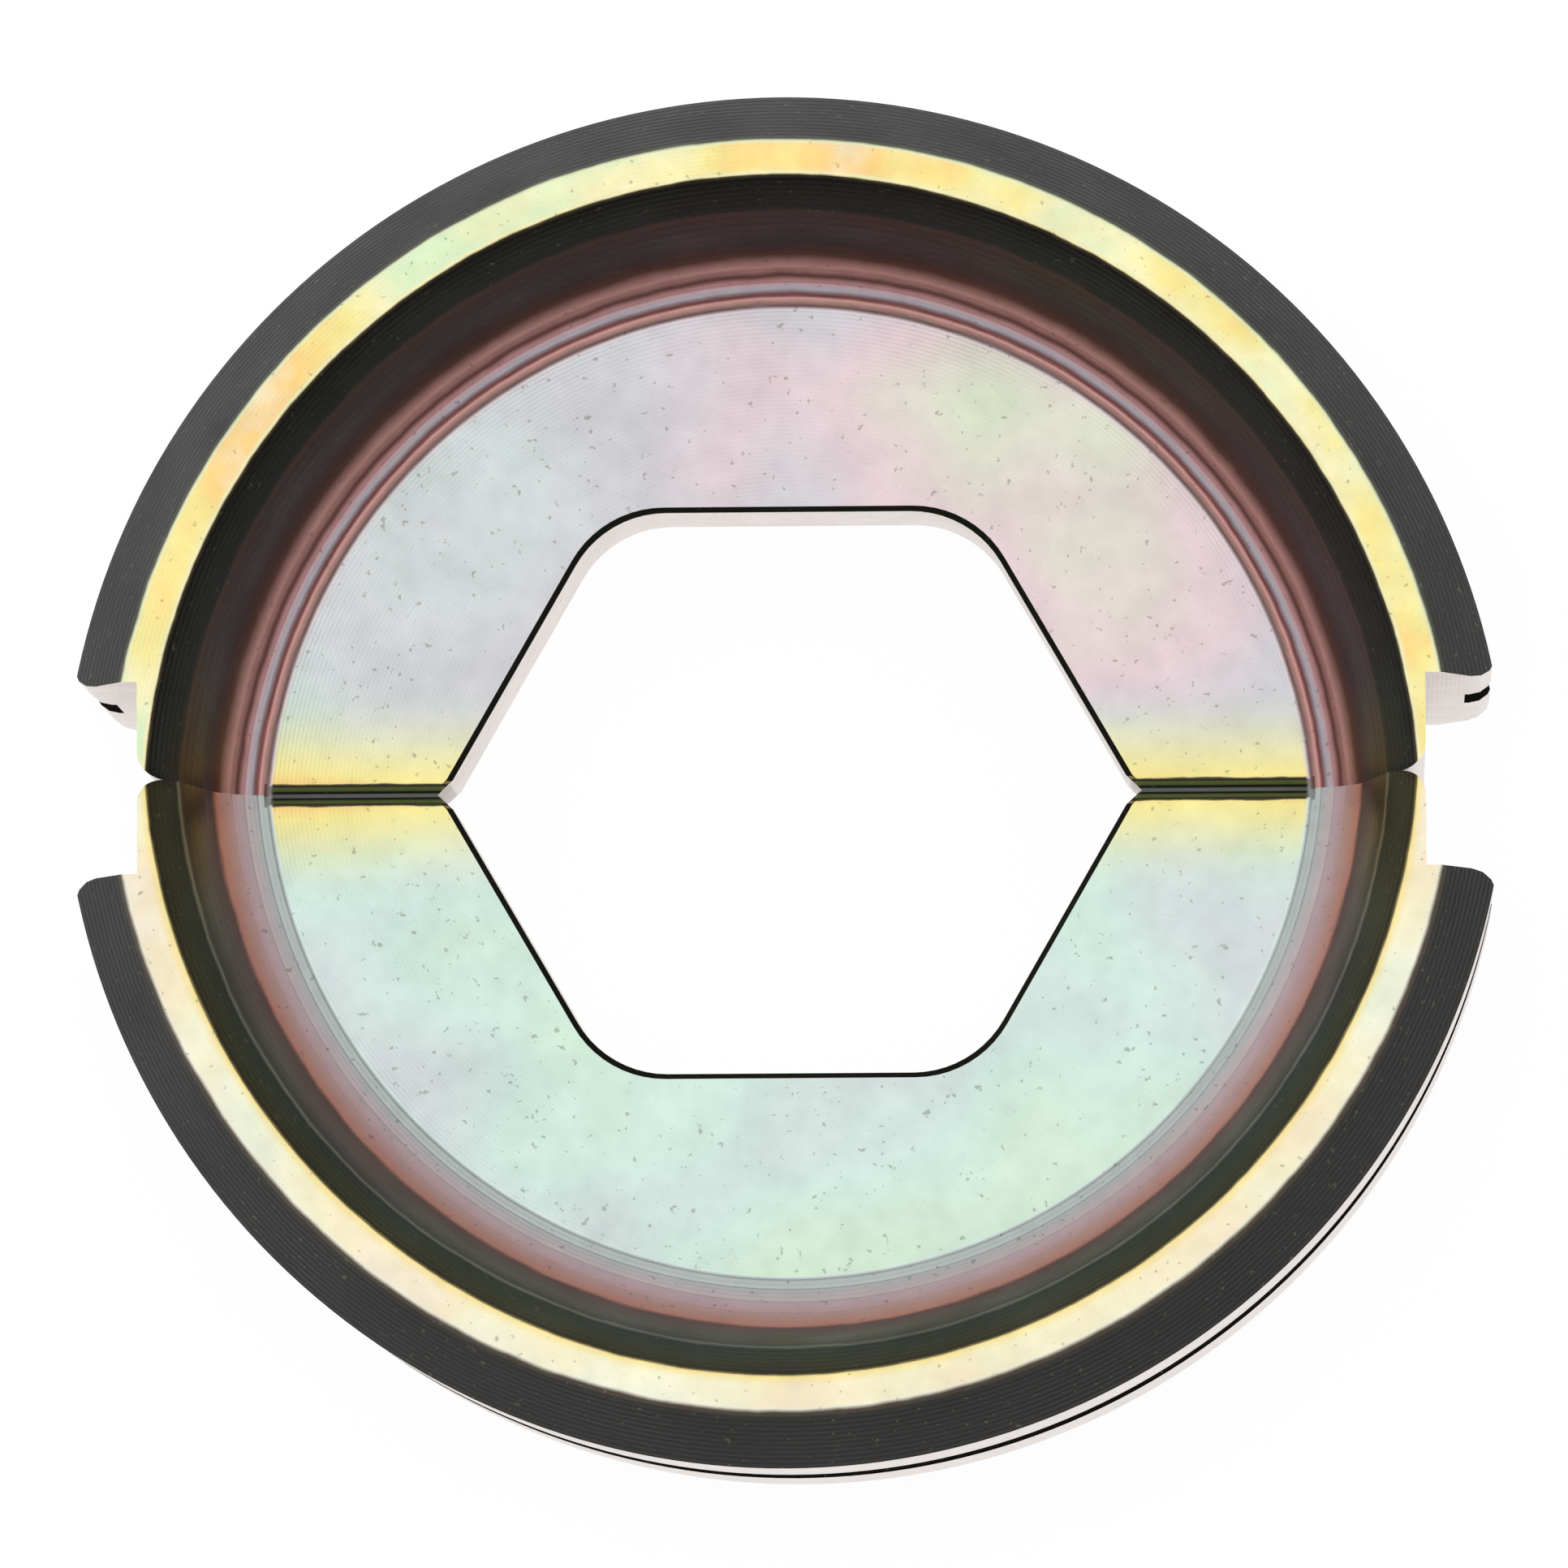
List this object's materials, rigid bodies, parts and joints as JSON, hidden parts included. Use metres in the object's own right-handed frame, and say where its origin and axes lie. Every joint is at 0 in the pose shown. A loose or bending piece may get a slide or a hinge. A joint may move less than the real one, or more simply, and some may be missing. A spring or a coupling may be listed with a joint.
{
  "type": "crimping die",
  "caption": "Hexagonal crimping die in matching halves with a recessed web, a thick conical-edged rim, a retaining groove and notched ends.",
  "frame": {"origin": "middle of the closed die on its rear rim face", "axes": "+Z along the crimp axis from the rear face to the front face, +X along the parting line, +Y from the lower half to the upper half"},
  "size_m": [0.043, 0.0418, 0.02],
  "materials": {
    "plated_steel": "yellow passivated zinc plating, satin"
  },
  "bodies": {
    "root": {"upper_die_half": "plated_steel", "lower_die_half": "plated_steel"}
  },
  "joints": []
}
